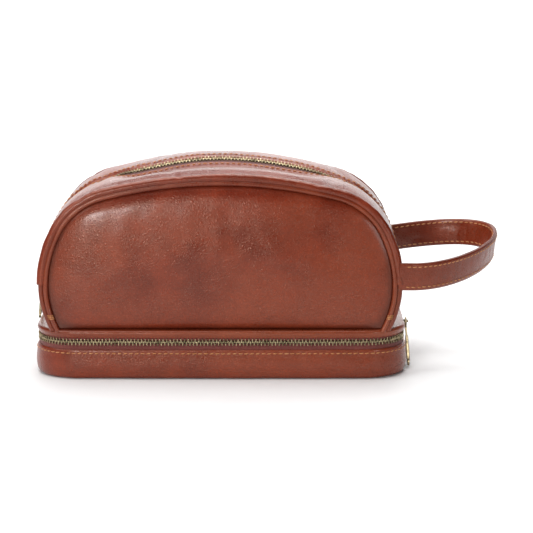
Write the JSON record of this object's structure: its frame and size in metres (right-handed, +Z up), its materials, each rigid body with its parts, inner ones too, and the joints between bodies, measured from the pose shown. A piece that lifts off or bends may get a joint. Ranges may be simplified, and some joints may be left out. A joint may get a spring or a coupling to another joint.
{
  "type": "shaving kit bag",
  "caption": "Leather shaving kit bag: a D-shaped upper compartment with a zip over the arch, hinged on a shallow zip-around base tray, with a strap loop at one side.",
  "frame": {"origin": "centre of the base's footprint, on the surface that it stands on", "axes": "+Z up, +X along the length towards the strap handle, -Y out of the front panel"},
  "size_m": [0.3422, 0.139, 0.15],
  "materials": {
    "leather": "glossy cognac leather with a fine grain",
    "edge_leather": "glossy rolled leather edge",
    "zip_tape": "woven tape",
    "brass": "antique brass",
    "lining": "plain woven lining",
    "board": "fibre board covered in cloth",
    "thread": "waxed thread"
  },
  "bodies": {
    "base_tray": {"base_bottom_panel": "leather", "base_stiffener": "board", "base_wall": "leather", "base_back_wrap": "leather", "base_lining": "lining", "back_hinge_strip": "edge_leather", "lower_zip_lower_tape": "zip_tape", "lower_zip_lower_teeth": "brass", "lower_zip_stops": "brass"},
    "upper_bag": {"divider_floor": "board", "rim_ledge": "leather", "rim_band": "leather", "lower_zip_upper_tape": "zip_tape", "lower_zip_upper_teeth": "brass", "front_panel": "leather", "back_panel": "leather", "front_piping": "edge_leather", "back_piping": "edge_leather", "front_gusset": "leather", "back_gusset": "leather", "left_side_panel": "leather", "right_side_panel": "leather", "front_lining": "lining", "back_lining": "lining", "upper_zip_front_tape": "zip_tape", "upper_zip_back_tape": "zip_tape", "upper_zip_front_teeth": "brass", "upper_zip_back_teeth": "brass", "upper_zip_stops": "brass", "piping_bar_tacks": "thread", "handle_seam_ends": "leather"},
    "handle": {"handle_outer_strap": "leather", "handle_inner_strap": "leather"},
    "upper_slider": {"upper_slider_body": "brass"},
    "upper_pull": {"upper_pull_link": "brass", "upper_pull_tab": "brass"},
    "lower_slider": {"lower_slider_body": "brass"},
    "lower_pull": {"lower_pull_link": "brass", "lower_pull_tab": "brass"}
  },
  "joints": [
    {"name": "lid_open", "type": "hinge", "parent": "base_tray", "child": "upper_bag", "pos_m": [0, 0.0695, 0.0338], "axis": [-1, 0, 0], "range_deg": [0, 75], "deforming": ["lower_zip_lower_teeth", "lower_zip_upper_teeth"]},
    {"name": "handle_flex", "type": "hinge", "parent": "upper_bag", "child": "handle", "pos_m": [0.1365, 0, 0.0755], "axis": [0, -1, 0], "range_deg": [-15, 20], "stiffness_Nm_per_rad": 0.25},
    {"name": "upper_slider_travel", "type": "hinge", "parent": "upper_bag", "child": "upper_slider", "pos_m": [-0.0685, 0, 0.078], "axis": [0, 1, 0], "range_deg": [0, 66], "deforming": ["upper_zip_front_teeth", "upper_zip_back_teeth"]},
    {"name": "upper_pull_swing", "type": "hinge", "parent": "upper_slider", "child": "upper_pull", "pos_m": [-0.13166, 0, 0.07579], "axis": [0, 1, 0], "range_deg": [0, 110]},
    {"name": "lower_slider_travel", "type": "slide", "parent": "base_tray", "child": "lower_slider", "axis": [0, -1, 0], "range_m": [-0.026, 0.034]},
    {"name": "lower_pull_swing", "type": "hinge", "parent": "lower_slider", "child": "lower_pull", "pos_m": [0.1371, 0.003, 0.027], "axis": [0, -0.5299, 0.848], "range_deg": [0, 100]}
  ]
}
